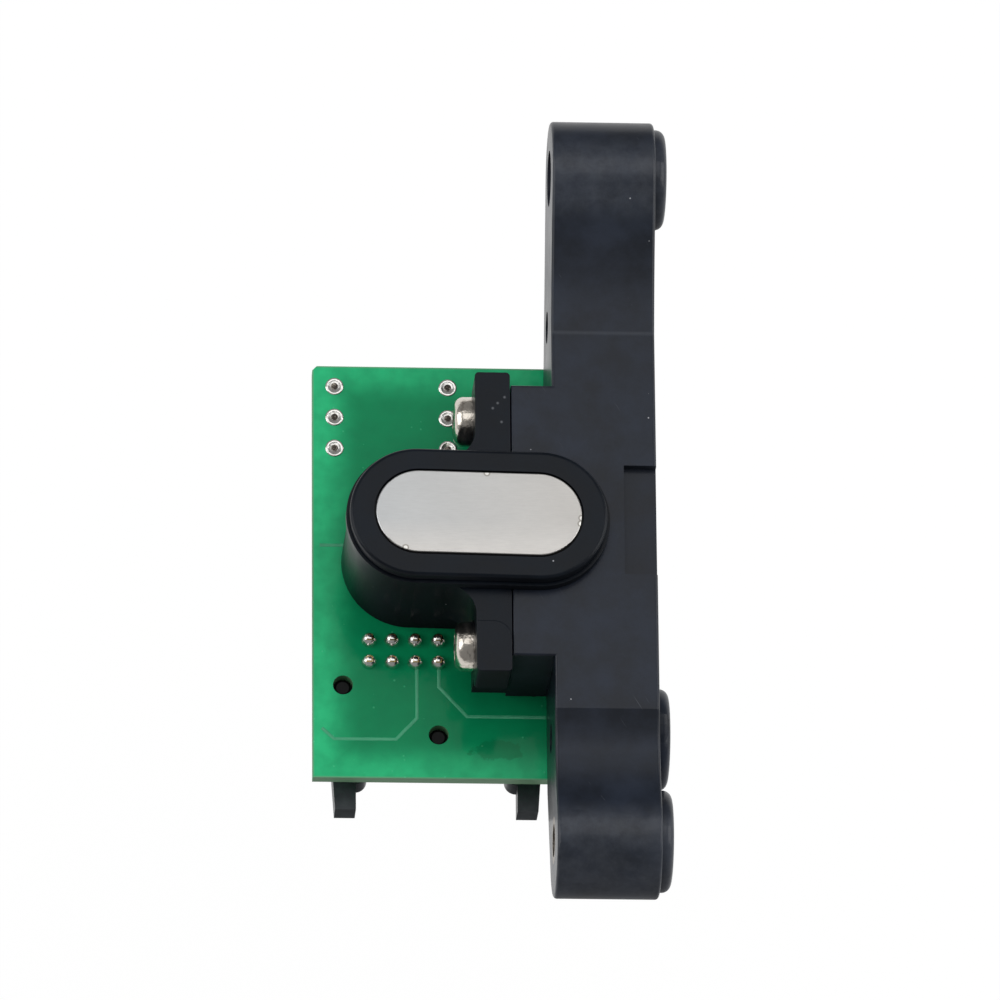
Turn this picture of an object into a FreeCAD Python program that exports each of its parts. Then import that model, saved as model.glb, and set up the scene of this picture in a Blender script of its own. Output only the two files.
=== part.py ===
import FreeCAD, Part
import math
import os

# Sensor head of a spindle encoder, in millimetres.
# The origin is on the upper bolt's axis, in the plane on which the bosses seat.
# +X points out of the seat, +Y towards the upper arm, +Z the way the head senses.

# Mounting body
body_width = 11.4
body_depth = 13.9
boss_height = 1.3
boss_radius = 5.55
boss_round = 1.0
end_radius = 6.3
bolt_span = 75.75
bolt_drop = 3.7
bolt_above_back = 13.2
upper_bolt_radius = 3.1
lower_bolt_radius = 1.8
sleeve_wall = 0.8
middle_hole_from_lower = 12.5
middle_hole_z = -6.36
middle_hole_radius = 1.6
arm_hole_y = -15.35
arm_hole_z = -6.0
arm_hole_radius = 1.8
front_flat_from_upper = 18.4
front_flat_from_lower = 13.7
back_flat_from_upper = 20.6
back_flat_from_lower = 8.4
arm_blend_angle = 114.0
edge_round = 0.4
crease_round = 0.6

# Side block and pocket of the mounting body
block_width = 4.5
block_above_head = 16.05
block_below_head = 15.25
pocket_width = 3.6
pocket_length = 12.6
pocket_above_head = 6.82
pocket_depth = 1.2
block_round = 0.25

# Sensor housing
head_from_body = 8.27
head_y = -40.8
head_height = 16.9
head_length = 28.1
head_width = 14.7
head_turn = -1.0
draft_at_base = 0.2
slot_gap = 0.1
cap_height = 1.4
cap_round = 0.45
groove_height = 0.22
groove_depth = 0.2
band_height = 1.15
band_step = 0.35
front_wall = 2.6
cavity_end_wall = 4.05
cavity_side_wall = 2.6

# Ear plate of the sensor housing
seam = 0.1
ear_width = 3.85
ear_above_head = 17.5
ear_below_head = 17.15
ear_above_board = 3.4
ear_corner = 0.45
ear_fillet = 3.3
ear_foot_depth = 4.7
ear_foot_step = 1.1
ear_pad_length = 5.8
ear_pad_height = 0.12
ear_pad_corner = 2.0
ear_pad_edge = 0.08

# Face plate
plate_end_rim = 2.85
plate_side_rim = 2.65
window_end_ledge = 2.2
window_side_ledge = 1.9
plate_thickness = 0.9
plate_proud = 0.1
plate_gap = 0.22
plate_round = 0.12

# Screws through the ear plate, and their inserts
screw_radius = 1.5
screw_length = 8.0
screw_head_radius = 2.75
screw_head_height = 2.1
screw_head_round = 1.15
screw_hole_gap = 0.15
screw_half_span = 13.1
screw_mid_above_head = 0.6
screw_above_board = 8.4
recess_width = 0.7
recess_span = 2.9
recess_depth = 0.8
insert_radius = 2.2
insert_length = 5.5
thread_gap = 0.05

# Circuit board
board_thickness = 1.6
board_width = 26.3
board_above_head = 15.9
board_below_rows = 15.95
board_lap = 0.6
board_chamfer = 0.5

# Connector on the board's rear
pin_pitch = 2.54
pin_columns = 7
pin_side = 0.64
pin_hole_radius = 0.5
pin_proud = 1.15
connector_from_left = 13.84
rows_below_head = 1.6
shell_half_width = 11.7
shell_height = 8.8
shell_below_rows = 3.8
shell_depth = 8.8
shell_wall = 1.1
shell_floor = 1.8
cavity_half_width = 9.1
contact_reach = 3.8
contact_fit = 0.01
key_width = 4.5
key_length = 6.5
peg_radius = 0.9
peg_hole_radius = 1.1
peg_short = 1.0
peg_chamfer = 0.2
side_peg_offset = 10.5
side_peg_below_rows = 5.25
middle_peg_below_rows = 10.91

# Ejector latches
latch_thickness = 3.2
latch_gap = 0.15
latch_inner = 9.15
latch_outer = 11.5
latch_tip_inner = 8.9
latch_tip_outer = 11.2
latch_pivot_offset = 10.1
latch_pivot_below_rows = 7.4
latch_end_radius = 1.4
latch_slot_depth = 3.3
latch_below_mouth = 5.55
hook_reach = 7.6
hook_below_mouth = 1.2
hook_edge = 0.1
trunnion_radius = 0.8
trunnion_length = 1.6
running_gap = 0.06
toe_reach = 0.75
toe_height = 1.2
toe_drop = 0.84

# Solder joints and the six rings
joint_radius = 0.8
joint_tip_radius = 0.4
joint_height = 1.0
joint_clearance = 0.4
ring_radius = 0.95
ring_height = 0.14
filter_pitch = 3.66
filter_legs = 3
filter_leg_radius = 0.4
filter_leg_proud = 0.1
filter_leg_hole = 0.55
filter_from_left = 2.46
filter_spacing = 12.6
filter_below_top = 6.05
filter_body = (3.0, 10.4, 6.5)
filter_corner = 0.5
filter_stand_off = 0.5

# Inside the tower
magnet_end_gap = 5.0
magnet_height = 6.0
element_side_gap = 0.3
carrier_gap = 0.15
carrier_bottom = 4.2
carrier_to_wall = 0.1
potting_bottom = 0.6
chip_size = (7.0, 3.0, 0.55)
element_board_end_gap = 3.0
element_board_thickness = 0.8
element_gap = 0.05
lead_radius = 0.3
lead_from_board_end = 0.6
lead_from_board_side = 0.9
lead_hole_gap = 0.1
lead_end = 1.0

# Board screws
board_screw_radius = 1.0
board_screw_length = 6.0
board_screw_head_radius = 1.9
board_screw_head_height = 1.3
board_screw_head_round = 0.5
board_screw_fit = 0.01
board_screw_hole_gap = 0.1
board_screw_angle = 35.0
board_screw_inset = 1.45

# Parts on the board's rear
package_width = 3.9
package_height = 1.5
package_chamfer = 0.25
package_stand_off = 0.15
leg_pitch = 1.27
leg_width = 0.42
leg_thickness = 0.2
leg_span = 6.1
amplifier_length = 8.7
amplifier_legs = 7
amplifier_place = (17.7, 15.65)
driver_length = 9.9
driver_legs = 8
driver_place = (8.8, 5.85)
smoothing_size = (4.3, 7.3, 2.9)
smoothing_place = (20.7, 4.45)
smoothing_chamfer = 0.3
capacitor_size = (1.25, 2.0, 1.0)
capacitor_row = (17.8, 10.65)
capacitor_pitch = 2.2
capacitor_count = 4
resistor_size = (0.8, 1.6, 0.45)
resistor_row = (12.4, 27.75)
resistor_pitch = 1.8
resistor_count = 6

# Room round cutting solids: how far they run past a face, and the lap of solids that are fused
past = 1.0
lap = 0.5

# Planes and places worked out from the sizes above
V = FreeCAD.Vector
body_right = -boss_height
body_left = body_right - body_width
back_z = -bolt_above_back
front_z = back_z + body_depth
block_left = body_left - block_width
block_top = head_y + block_above_head
block_bottom = head_y - block_below_head
pocket_top = head_y + pocket_above_head
middle_hole_y = middle_hole_from_lower - bolt_span
head_x = body_left - head_from_body
face_z = back_z + head_height
band_top = face_z - cap_height - groove_height
band_low = band_top - band_height
ear_right = block_left - seam
ear_left = ear_right - ear_width
ear_z = back_z + ear_above_board
screw_z = back_z + screw_above_board
screw_rows = [head_y + screw_mid_above_head + s * screw_half_span for s in (1, -1)]
board_right = body_left + board_lap
board_left = board_right - board_width
board_top = head_y + head_width / 2 + board_above_head
rear_z = back_z - board_thickness
connector_x = board_left + connector_from_left
pin_xs = [connector_x + (i - (pin_columns - 1) / 2) * pin_pitch for i in range(pin_columns)]
far_row_y = head_y - head_width / 2 - rows_below_head
near_row_y = far_row_y - pin_pitch
board_bottom = far_row_y - board_below_rows
shell_back_y = far_row_y - shell_below_rows
shell_low_z = rear_z - shell_height
shell_mid_z = (rear_z + shell_low_z) / 2
mouth_y = shell_back_y - shell_depth
latch_pivot_y = far_row_y - latch_pivot_below_rows
latch_tip_y = mouth_y - latch_below_mouth
hook_top_y = mouth_y - hook_below_mouth
hook_low_y = hook_top_y - hook_edge - (latch_tip_inner - hook_reach)
cavity_back_y = shell_back_y - shell_floor
far_contact_z = shell_mid_z - pin_pitch / 2
near_contact_z = shell_mid_z + pin_pitch / 2
filter_xs = [board_left + filter_from_left, board_left + filter_from_left + filter_spacing]
filter_y = board_top - filter_below_top
filter_ys = [filter_y + (i - (filter_legs - 1) / 2) * filter_pitch for i in range(filter_legs)]
cavity_length = head_length - 2 * cavity_end_wall
cavity_width = head_width - 2 * cavity_side_wall
plate_length = head_length - 2 * plate_end_rim
plate_width = head_width - 2 * plate_side_rim
window_length = plate_length - 2 * window_end_ledge
window_width = plate_width - 2 * window_side_ledge
plate_seat = plate_thickness - plate_proud
element_width = window_width - 2 * element_side_gap
element_board_length = window_length - 2 * element_board_end_gap
magnet_length = window_length - 2 * magnet_end_gap
element_board_top = face_z - plate_seat - element_gap - chip_size[2]
magnet_top = element_board_top - element_board_thickness
magnet_size = (magnet_length, element_width, magnet_height)
element_board_size = (element_board_length, element_width, element_board_thickness)
lead_offset_x = element_board_length / 2 - lead_from_board_end
lead_offset_y = element_width / 2 - lead_from_board_side
lead_spots = [(head_x + i * lead_offset_x, head_y + j * lead_offset_y) for i in (-1, 1) for j in (-1, 1)]


def box(x0, x1, y0, y1, z0, z1):
    return Part.makeBox(x1 - x0, y1 - y0, z1 - z0, V(x0, y0, z0))


def block_at(x, y, size, z0):
    """A box of the given size, centred on x and y, standing on z0."""
    return box(x - size[0] / 2, x + size[0] / 2, y - size[1] / 2, y + size[1] / 2, z0, z0 + size[2])


def rod(x, y, z, radius, length, way=V(0, 0, 1)):
    return Part.makeCylinder(radius, length, V(x, y, z), way)


def stadium_wire(x, y, length, width, z):
    """An oval with straight sides, turned as the head is."""
    half = (length - width) / 2
    r = width / 2
    corners = [V(x - half, y - r, z), V(x + half, y - r, z), V(x + half, y + r, z), V(x - half, y + r, z)]
    edges = [
        Part.makeLine(corners[0], corners[1]),
        Part.Arc(corners[1], V(x + half + r, y, z), corners[2]).toShape(),
        Part.makeLine(corners[2], corners[3]),
        Part.Arc(corners[3], V(x - half - r, y, z), corners[0]).toShape(),
    ]
    wire = Part.Wire(edges)
    wire.rotate(V(x, y, z), V(0, 0, 1), head_turn)
    return wire


def stadium(x, y, length, width, z0, z1):
    return Part.Face(stadium_wire(x, y, length, width, z0)).extrude(V(0, 0, z1 - z0))


def fuse_all(shapes):
    return shapes[0].multiFuse(shapes[1:]).removeSplitter()


def fillet_where(shape, radius, test):
    """Rounds the edges that the test picks on a single solid."""
    return shape.makeFillet(radius, [e for e in shape.Edges if test(e)]).Solids[0]


def on_circle(centre, angle, radius):
    a = math.radians(angle)
    return centre + V(0, math.cos(a), math.sin(a)) * radius


def hollow_arc(end_centre, angle, corner):
    """The hollow curve from a rounded end to a corner of the front: where it touches, and its middle."""
    touch = on_circle(end_centre, angle, end_radius)
    way = on_circle(V(0, 0, 0), angle, 1)
    d = end_centre - corner
    along = d.dot(way)
    radius = -(d.dot(d) + 2 * end_radius * along + end_radius ** 2) / (2 * (along + end_radius))
    centre = end_centre + way * (end_radius + radius)
    bisector = (corner - centre).normalize() + (touch - centre).normalize()
    return touch, centre + bisector.normalize() * radius


def tangent_angle(corner, end_centre, side):
    """Angle on the rounded end at which a straight line from the corner touches it."""
    d = end_centre - corner
    base = math.degrees(math.atan2(d.z, d.y))
    swing = math.degrees(math.asin(end_radius / d.Length))
    return base + side * (swing + 90)


def crescent():
    """The mounting body's side outline, drawn in its left face and pulled to its full width."""
    upper = V(body_left, 0, 0)
    lower = V(body_left, -bolt_span, -bolt_drop)
    front_high = V(body_left, -front_flat_from_upper, front_z)
    front_low = V(body_left, front_flat_from_lower - bolt_span, front_z)
    back_high = V(body_left, -back_flat_from_upper, back_z)
    back_low = V(body_left, back_flat_from_lower - bolt_span, back_z)
    upper_touch, upper_middle = hollow_arc(upper, arm_blend_angle, front_high)
    lower_touch, lower_middle = hollow_arc(lower, 180 - arm_blend_angle, front_low)
    upper_back = tangent_angle(back_high, upper, -1)
    lower_back = tangent_angle(back_low, lower, 1)
    upper_end = on_circle(upper, upper_back, end_radius)
    lower_end = on_circle(lower, lower_back, end_radius)
    upper_far = on_circle(upper, (upper_back + arm_blend_angle) / 2, end_radius)
    lower_far = on_circle(lower, (lower_back + 180 - arm_blend_angle) / 2, end_radius)
    edges = [
        Part.makeLine(front_high, front_low),
        Part.Arc(front_low, lower_middle, lower_touch).toShape(),
        Part.Arc(lower_touch, lower_far, lower_end).toShape(),
        Part.makeLine(lower_end, back_low),
        Part.makeLine(back_low, back_high),
        Part.makeLine(back_high, upper_end),
        Part.Arc(upper_end, upper_far, upper_touch).toShape(),
        Part.Arc(upper_touch, upper_middle, front_high).toShape(),
    ]
    solid = Part.Face(Part.Wire(edges)).extrude(V(body_width, 0, 0))
    solid = fillet_where(solid, crease_round, is_crease)
    return fillet_where(solid, edge_round, lambda e: e.BoundBox.XLength < 0.01)


def is_crease(edge):
    """True on the four corners where a flat of the crescent meets an arm."""
    b = edge.BoundBox
    level = abs(b.ZMax - front_z) < 0.01 or abs(b.ZMin - back_z) < 0.01
    return level and b.XLength > body_width / 2


def bolt_places():
    """Centres of the three bosses and the radius of the hole through each."""
    sleeve = lower_bolt_radius + sleeve_wall
    return [
        (0, 0, upper_bolt_radius),
        (middle_hole_y, middle_hole_z, middle_hole_radius),
        (-bolt_span, -bolt_drop, sleeve),
    ]


def boss(y, z):
    solid = rod(body_right - boss_round, y, z, boss_radius, boss_height + boss_round, V(1, 0, 0))
    return fillet_where(solid, boss_round, lambda e: is_rim(e, 0, boss_radius))


def mounting_body():
    solid = fuse_all([crescent()] + [boss(y, z) for y, z, _ in bolt_places()])
    block_right = body_left + edge_round + lap
    block = box(block_left, block_right, block_bottom, block_top, back_z, front_z)
    block = fillet_where(block, block_round, is_block_edge)
    solid = solid.fuse(block).removeSplitter()
    slot_length = head_length + 2 * (draft_at_base + slot_gap)
    slot_width = head_width + 2 * (draft_at_base + slot_gap)
    pocket_low = pocket_top - pocket_length
    pocket_floor = front_z - pocket_depth
    start_x = body_left - past
    screw_x = block_left - past
    screw_hole = screw_radius + screw_hole_gap
    cuts = [stadium(head_x, head_y, slot_length, slot_width, back_z - past, front_z + past)]
    cuts.append(box(body_right - pocket_width, past, pocket_low, pocket_top, pocket_floor, front_z + past))
    for y, z, radius in bolt_places():
        cuts.append(rod(start_x, y, z, radius, body_width + boss_height + 2 * past, V(1, 0, 0)))
    cuts.append(rod(start_x, arm_hole_y, arm_hole_z, arm_hole_radius, body_width + 2 * past, V(1, 0, 0)))
    for y in screw_rows:
        cuts.append(rod(screw_x, y, screw_z, insert_radius, insert_length + past, V(1, 0, 0)))
        cuts.append(rod(screw_x, y, screw_z, screw_hole, screw_length + past, V(1, 0, 0)))
    cuts.append(joint_relief())
    return solid.cut(cuts)


def is_block_edge(edge):
    """True on the side block's three free edges round its front."""
    b = edge.BoundBox
    return b.ZMin > front_z - 0.01 and b.Center.x < body_left


def joint_relief():
    """Room in the side block's back for the connector joints that lie under it."""
    room = joint_radius + joint_clearance
    top = back_z + pin_proud + joint_clearance
    right = pin_xs[-1] + room
    return box(block_left - past, right, near_row_y - room, far_row_y + room, back_z - past, top)


def lower_sleeve():
    outer = lower_bolt_radius + sleeve_wall
    length = body_width + boss_height
    place = (body_left, -bolt_span, -bolt_drop)
    return rod(*place, outer, length, V(1, 0, 0)).cut(rod(*place, lower_bolt_radius, length, V(1, 0, 0)))


def tower():
    """The oval tower: a drafted wall, then a band, a groove and the rounded cap."""
    wide = 2 * draft_at_base
    wall = Part.makeLoft([
        stadium_wire(head_x, head_y, head_length + wide, head_width + wide, back_z),
        stadium_wire(head_x, head_y, head_length, head_width, band_low),
    ], True, True)
    step = 2 * band_step
    band = stadium(head_x, head_y, head_length + step, head_width + step, band_low, band_top)
    thin = 2 * groove_depth
    neck = stadium(head_x, head_y, head_length - thin, head_width - thin, band_top, face_z - cap_height)
    cap = stadium(head_x, head_y, head_length, head_width, face_z - cap_height, face_z)
    cap = fillet_where(cap, cap_round, lambda e: e.BoundBox.ZMin > face_z - 0.01)
    return wall, [band, neck, cap]


def ear_plate():
    low = head_y - ear_below_head
    high = head_y + ear_above_head
    solid = box(ear_left, ear_right, low, high, ear_z, front_z)
    solid = fillet_where(solid, ear_corner, lambda e: e.BoundBox.ZLength > ear_corner)
    foot_top = ear_z + ear_foot_depth
    for y0, y1 in ((low - past, low + ear_foot_step), (high - ear_foot_step, high + past)):
        solid = solid.cut(box(ear_left - past, ear_right + past, y0, y1, ear_z - past, foot_top))
    return fuse_all([solid, ear_pad(low)])


def ear_pad(low):
    """The thin raised pad at the ear plate's lower end."""
    pad = box(ear_left, ear_right, low, low + ear_pad_length, front_z - lap, front_z + ear_pad_height)
    for radius, x, above in ((ear_pad_corner, ear_right, True), (ear_corner, ear_right, False),
                             (ear_corner, ear_left, False)):
        pad = fillet_where(pad, radius, lambda e: is_upright_at(e, x, above, low + ear_pad_length / 2))
    return fillet_where(pad, ear_pad_edge, lambda e: e.BoundBox.ZMin > front_z)


def is_upright_at(edge, x, above, middle_y):
    """True on the upright edge at x, above or below the middle."""
    b = edge.BoundBox
    return b.XLength < 0.01 and b.YLength < 0.01 and abs(b.XMin - x) < 0.01 and (b.YMin > middle_y) == above


def sensor_housing():
    wall, rim = tower()
    solid = fuse_all([wall, ear_plate()])
    reach = head_width / 2 + 2 * draft_at_base

    def inner_corner(e):
        b = e.BoundBox
        beside = abs(b.XMin - ear_left) < 0.01 and abs(b.XMax - ear_left) < 0.01
        return beside and b.ZLength > lap and abs(b.Center.y - head_y) < reach

    solid = fillet_where(solid, ear_fillet, inner_corner)
    solid = fuse_all([solid] + rim)
    seat_length = plate_length + 2 * plate_gap
    seat_width = plate_width + 2 * plate_gap
    cuts = [
        stadium(head_x, head_y, cavity_length, cavity_width, back_z - past, face_z - front_wall),
        stadium(head_x, head_y, window_length, window_width, back_z, face_z + past),
        stadium(head_x, head_y, seat_length, seat_width, face_z - plate_seat, face_z + past),
    ]
    screw_hole = screw_radius + screw_hole_gap
    head_room = screw_head_radius + screw_hole_gap
    for y in screw_rows:
        seat_x = ear_left - screw_head_height
        cuts.append(rod(ear_left - past, y, screw_z, screw_hole, ear_width + 2 * past, V(1, 0, 0)))
        cuts.append(rod(seat_x, y, screw_z, head_room, screw_head_height, V(1, 0, 0)))
    for x, y in board_screw_places():
        depth = board_screw_length - board_thickness
        cuts.append(rod(x, y, back_z - past, board_screw_radius, depth + past))
    return solid.cut(cuts)


def face_plate():
    solid = stadium(head_x, head_y, plate_length, plate_width, face_z - plate_seat, face_z + plate_proud)
    return fillet_where(solid, plate_round, lambda e: e.BoundBox.ZMin > face_z + plate_proud - 0.01)


def pan_screw(tip_to_head, radius, head_radius, head_height, head_round):
    """A pan head screw along +X, its head's seat at the origin and its shank towards +X."""
    shank = rod(-head_round / 2, 0, 0, radius, tip_to_head + head_round / 2, V(1, 0, 0))
    head = rod(-head_height, 0, 0, head_radius, head_height, V(1, 0, 0))
    head = fillet_where(head, head_round, lambda e: is_rim(e, -head_height, head_radius))
    solid = shank.fuse(head).removeSplitter()
    half = recess_span / 2 * head_radius / screw_head_radius
    thin = recess_width / 2 * head_radius / screw_head_radius
    floor = -head_height + recess_depth * head_height / screw_head_height
    cross = box(-head_height - past, floor, -half, half, -thin, thin)
    return solid.cut([cross, box(-head_height - past, floor, -thin, thin, -half, half)])


def is_rim(edge, x, radius):
    """True on a round edge of that radius in the plane at x."""
    b = edge.BoundBox
    return b.XLength < 0.01 and abs(b.XMin - x) < 0.01 and b.YLength > radius


def head_screws():
    screws = []
    for y in screw_rows:
        screw = pan_screw(screw_length, screw_radius, screw_head_radius, screw_head_height, screw_head_round)
        screw.translate(V(ear_left, y, screw_z))
        screws.append(screw)
    return Part.makeCompound(screws)


def threaded_inserts():
    inserts = []
    inner = screw_radius + thread_gap
    for y in screw_rows:
        tube = rod(block_left, y, screw_z, insert_radius, insert_length, V(1, 0, 0))
        inserts.append(tube.cut(rod(block_left, y, screw_z, inner, insert_length, V(1, 0, 0))))
    return Part.makeCompound(inserts)


def board_screw_places():
    """Two places in the tower's left end wall."""
    end_x = head_x - (head_length - head_width) / 2
    reach = head_width / 2 - board_screw_inset
    a = math.radians(board_screw_angle)
    return [(end_x - reach * math.cos(a), head_y + s * reach * math.sin(a)) for s in (1, -1)]


def board_screws():
    screws = []
    shank = board_screw_radius - board_screw_fit
    head = (board_screw_head_radius, board_screw_head_height, board_screw_head_round)
    for x, y in board_screw_places():
        screw = pan_screw(board_screw_length, shank, *head)
        screw.rotate(V(0, 0, 0), V(0, 1, 0), -90)
        screw.translate(V(x, y, rear_z))
        screws.append(screw)
    return Part.makeCompound(screws)


def peg_places():
    sides = [(connector_x + s * side_peg_offset, far_row_y - side_peg_below_rows) for s in (-1, 1)]
    return sides + [(connector_x, far_row_y - middle_peg_below_rows)]


def pin_places():
    return [(x, y) for y in (far_row_y, near_row_y) for x in pin_xs]


def circuit_board():
    solid = box(board_left, board_right, board_bottom, board_top, rear_z, back_z)
    middle_y = (board_top + board_bottom) / 2
    corner = [e for e in solid.Edges if is_upright_at(e, board_left, True, middle_y)]
    solid = solid.makeChamfer(board_chamfer, corner)
    holes = [(x, y, pin_hole_radius) for x, y in pin_places()]
    holes += [(x, y, filter_leg_hole) for x in filter_xs for y in filter_ys]
    holes += [(x, y, peg_hole_radius) for x, y in peg_places()]
    holes += [(x, y, lead_radius + lead_hole_gap) for x, y in lead_spots]
    holes += [(x, y, board_screw_radius + board_screw_hole_gap) for x, y in board_screw_places()]
    return solid.cut([rod(x, y, rear_z - past, r, board_thickness + 2 * past) for x, y, r in holes])


def contact_row(y, z):
    """One row of square contacts: up through the board, a bend, then out towards the mouth."""
    half = pin_side / 2
    tip_y = cavity_back_y - contact_reach
    contacts = []
    for x in pin_xs:
        leg = box(x - half, x + half, y - half, y + half, z - half, back_z + pin_proud)
        arm = box(x - half, x + half, tip_y, y + half, z - half, z + half)
        contact = leg.fuse(arm).removeSplitter()
        contact = fillet_where(contact, half, lambda e: outer_bend(e, y + half, z - half))
        contacts.append(contact)
    return Part.makeCompound(contacts)


def outer_bend(edge, y, z):
    b = edge.BoundBox
    return b.XLength > pin_side / 2 and abs(b.Center.y - y) < 0.01 and abs(b.Center.z - z) < 0.01


def connector_shell():
    outer = (connector_x - shell_half_width, connector_x + shell_half_width)
    inner = (connector_x - cavity_half_width, connector_x + cavity_half_width)
    key = (connector_x - key_width / 2, connector_x + key_width / 2)
    shell = box(*outer, mouth_y, shell_back_y, shell_low_z, rear_z)
    inner_low = shell_low_z + shell_wall
    cuts = [
        box(*inner, mouth_y - past, cavity_back_y, inner_low, rear_z - shell_wall),
        box(*key, mouth_y - past, mouth_y + key_length, shell_low_z - past, inner_low + contact_fit),
    ]
    slot = latch_thickness / 2 + latch_gap
    slot_back = latch_pivot_y + latch_end_radius + latch_gap
    deep = latch_thickness / 2 + trunnion_length + latch_gap
    slot_low = shell_mid_z - slot
    slot_high = shell_mid_z + slot
    bearing = trunnion_radius + running_gap
    for s in (-1, 1):
        ends = [connector_x + s * x for x in (shell_half_width - latch_slot_depth, shell_half_width + past)]
        cuts.append(box(min(ends), max(ends), mouth_y - past, slot_back, slot_low, slot_high))
        pivot_x = connector_x + s * latch_pivot_offset
        cuts.append(rod(pivot_x, latch_pivot_y, shell_mid_z - deep, bearing, 2 * deep))
    hole = pin_side / 2 + contact_fit
    hole_ys = (cavity_back_y - past, shell_back_y + past)
    for z in (far_contact_z, near_contact_z):
        for x in pin_xs:
            cuts.append(box(x - hole, x + hole, *hole_ys, z - hole, z + hole))
    return fuse_all([shell.cut(cuts)] + [peg(x, y) for x, y in peg_places()])


def peg(x, y):
    """A chamfered locating peg, from inside the shell up into its hole in the board."""
    solid = rod(x, y, rear_z - lap, peg_radius, board_thickness + lap - peg_short)
    top = back_z - peg_short - peg_chamfer
    return solid.makeChamfer(peg_chamfer, [e for e in solid.Edges if e.BoundBox.ZMin > top])


def latch(side):
    """An ejector latch: rounded pivot end, arm, inward hook, finger tip, toe and two trunnions."""
    z0 = shell_mid_z - latch_thickness / 2

    def at(offset, y):
        return V(connector_x + side * offset, y, z0)

    hook_radius = latch_tip_inner - hook_reach
    hook_side_y = hook_top_y - hook_edge
    drop = hook_radius * math.sqrt(0.5)
    round_middle = at(latch_tip_inner - drop, hook_side_y - drop)
    edges = [
        Part.makeLine(at(latch_outer, latch_pivot_y), at(latch_outer, hook_top_y)),
        Part.makeLine(at(latch_outer, hook_top_y), at(latch_tip_outer, latch_tip_y)),
        Part.makeLine(at(latch_tip_outer, latch_tip_y), at(latch_tip_inner, latch_tip_y)),
        Part.makeLine(at(latch_tip_inner, latch_tip_y), at(latch_tip_inner, hook_low_y)),
        Part.Arc(at(latch_tip_inner, hook_low_y), round_middle, at(hook_reach, hook_side_y)).toShape(),
        Part.makeLine(at(hook_reach, hook_side_y), at(hook_reach, hook_top_y)),
        Part.makeLine(at(hook_reach, hook_top_y), at(latch_inner, hook_top_y)),
        Part.makeLine(at(latch_inner, hook_top_y), at(latch_inner, latch_pivot_y)),
        Part.makeLine(at(latch_inner, latch_pivot_y), at(latch_outer, latch_pivot_y)),
    ]
    arm = Part.Face(Part.Wire(edges)).extrude(V(0, 0, latch_thickness))
    pivot_x = connector_x + side * latch_pivot_offset
    end = rod(pivot_x, latch_pivot_y, z0, latch_end_radius, latch_thickness)
    toe_x = [connector_x + side * x for x in (latch_inner + lap, latch_inner - toe_reach)]
    toe_low = latch_pivot_y - toe_drop
    toe = box(min(toe_x), max(toe_x), toe_low, toe_low + toe_height, z0, z0 + latch_thickness)
    pin_length = latch_thickness + 2 * trunnion_length
    pin = rod(pivot_x, latch_pivot_y, z0 - trunnion_length, trunnion_radius, pin_length)
    return fuse_all([arm, end, toe, pin])


def solder_joints():
    joints = []
    half = pin_side / 2
    for x, y in pin_places():
        cone = Part.makeCone(joint_radius, joint_tip_radius, joint_height, V(x, y, back_z))
        joints.append(cone.cut(box(x - half, x + half, y - half, y + half, rear_z, back_z + pin_proud)))
    for x in filter_xs:
        for y in filter_ys:
            ring = rod(x, y, back_z, ring_radius, ring_height)
            joints.append(ring.cut(rod(x, y, rear_z, filter_leg_radius, board_thickness + pin_proud)))
    for x, y in lead_spots:
        cone = Part.makeCone(joint_radius, joint_tip_radius, joint_height, V(x, y, rear_z), V(0, 0, -1))
        joints.append(cone.cut(rod(x, y, rear_z - lead_end, lead_radius, board_thickness + lead_end)))
    return Part.makeCompound(joints)


def noise_filters():
    low = rear_z - filter_stand_off - filter_body[2]
    solids = []
    for x in filter_xs:
        body = block_at(x, filter_y, filter_body, low)
        solids.append(fillet_where(body, filter_corner, lambda e: e.BoundBox.ZLength > filter_corner))
    return Part.makeCompound(solids)


def filter_leads():
    low = rear_z - filter_stand_off
    length = board_thickness + filter_stand_off + filter_leg_proud
    places = [(x, y) for x in filter_xs for y in filter_ys]
    return Part.makeCompound([rod(x, y, low, filter_leg_radius, length) for x, y in places])


def sensing_chip():
    return block_at(head_x, head_y, chip_size, element_board_top)


def element_board():
    return block_at(head_x, head_y, element_board_size, magnet_top)


def bias_magnet():
    return block_at(head_x, head_y, magnet_size, magnet_top - magnet_height)


def lead_holes():
    return [rod(x, y, back_z, lead_radius + lead_hole_gap, head_height) for x, y in lead_spots]


def element_carrier():
    bottom = back_z + carrier_bottom
    top = face_z - front_wall - carrier_to_wall
    gap = 2 * carrier_gap
    solid = stadium(head_x, head_y, cavity_length - gap, cavity_width - gap, bottom, top)
    pocket_size = (magnet_length, element_width, head_height)
    pocket = block_at(head_x, head_y, pocket_size, magnet_top - magnet_height)
    return solid.cut([pocket] + lead_holes())


def potting_fill():
    bottom = back_z + potting_bottom
    solid = stadium(head_x, head_y, cavity_length, cavity_width, bottom, back_z + carrier_bottom)
    return solid.cut(lead_holes())


def element_leads():
    low = rear_z - lead_end
    return Part.makeCompound([rod(x, y, low, lead_radius, magnet_top - low) for x, y in lead_spots])


def package(length, turned):
    """A moulded chip body at the origin, its back against the board, longest along X, or Y if turned."""
    flat = (package_width, length) if turned else (length, package_width)
    body = block_at(0, 0, (*flat, package_height), -package_stand_off - package_height)
    return body.makeChamfer(package_chamfer, [e for e in body.Edges if e.BoundBox.ZLength < 0.01])


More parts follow.
